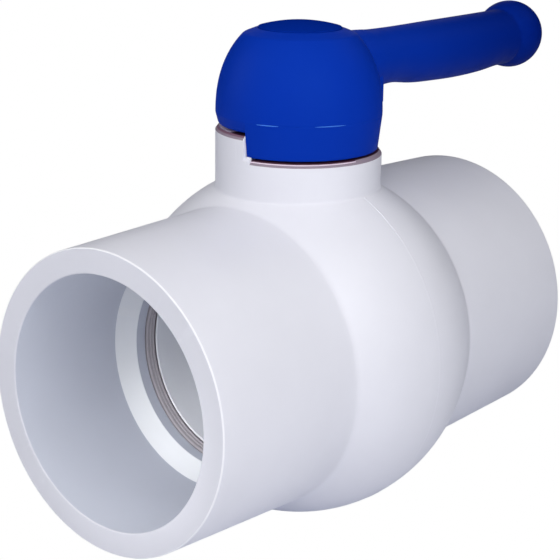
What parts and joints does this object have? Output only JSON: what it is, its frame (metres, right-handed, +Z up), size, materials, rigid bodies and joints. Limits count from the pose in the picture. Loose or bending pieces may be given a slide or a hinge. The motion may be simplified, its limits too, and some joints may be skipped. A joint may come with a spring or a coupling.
{
  "type": "pvc ball valve",
  "caption": "White plastic quarter-turn ball valve with plain glue sockets, round ball chamber, short stem neck and a blue lever handle with a round knob.",
  "frame": {"origin": "middle of the ball, where the pipe's axis meets the stem's axis", "axes": "+X along the pipe towards the socket that the open lever lies over, +Z up along the stem, +Y to the side that the lever swings towards as it closes"},
  "size_m": [0.1709, 0.0892, 0.1247],
  "materials": {
    "white_pvc": "smooth moulded, satin",
    "ball_pvc": "smooth",
    "seat": "turned, matt",
    "rubber": "matt",
    "blue_plastic": "smooth moulded, satin",
    "steel": "plain"
  },
  "bodies": {
    "valve_body": {"body_main": "white_pvc", "end_connector": "white_pvc", "seat_near": "seat", "seat_far": "seat", "seat_oring_near": "rubber", "seat_oring_far": "rubber"},
    "handle_and_stem": {"handle": "blue_plastic", "handle_cap": "blue_plastic", "handle_screw": "steel", "handle_washer": "steel", "stem": "ball_pvc", "stem_oring_lower": "rubber", "stem_oring_upper": "rubber", "thrust_washer": "seat"},
    "ball": {"ball": "ball_pvc"}
  },
  "joints": [
    {"name": "handle_turn", "type": "hinge", "parent": "valve_body", "child": "handle_and_stem", "pos_m": [0, 0, 0], "axis": [0, 0, 1], "range_deg": [0, 90]},
    {"name": "ball_turn", "type": "hinge", "parent": "valve_body", "child": "ball", "pos_m": [0, 0, 0], "axis": [0, 0, 1], "range_deg": [0, 90]}
  ],
  "couplings": [
    {"joint": "ball_turn", "follows": "handle_turn", "ratio": 1}
  ]
}
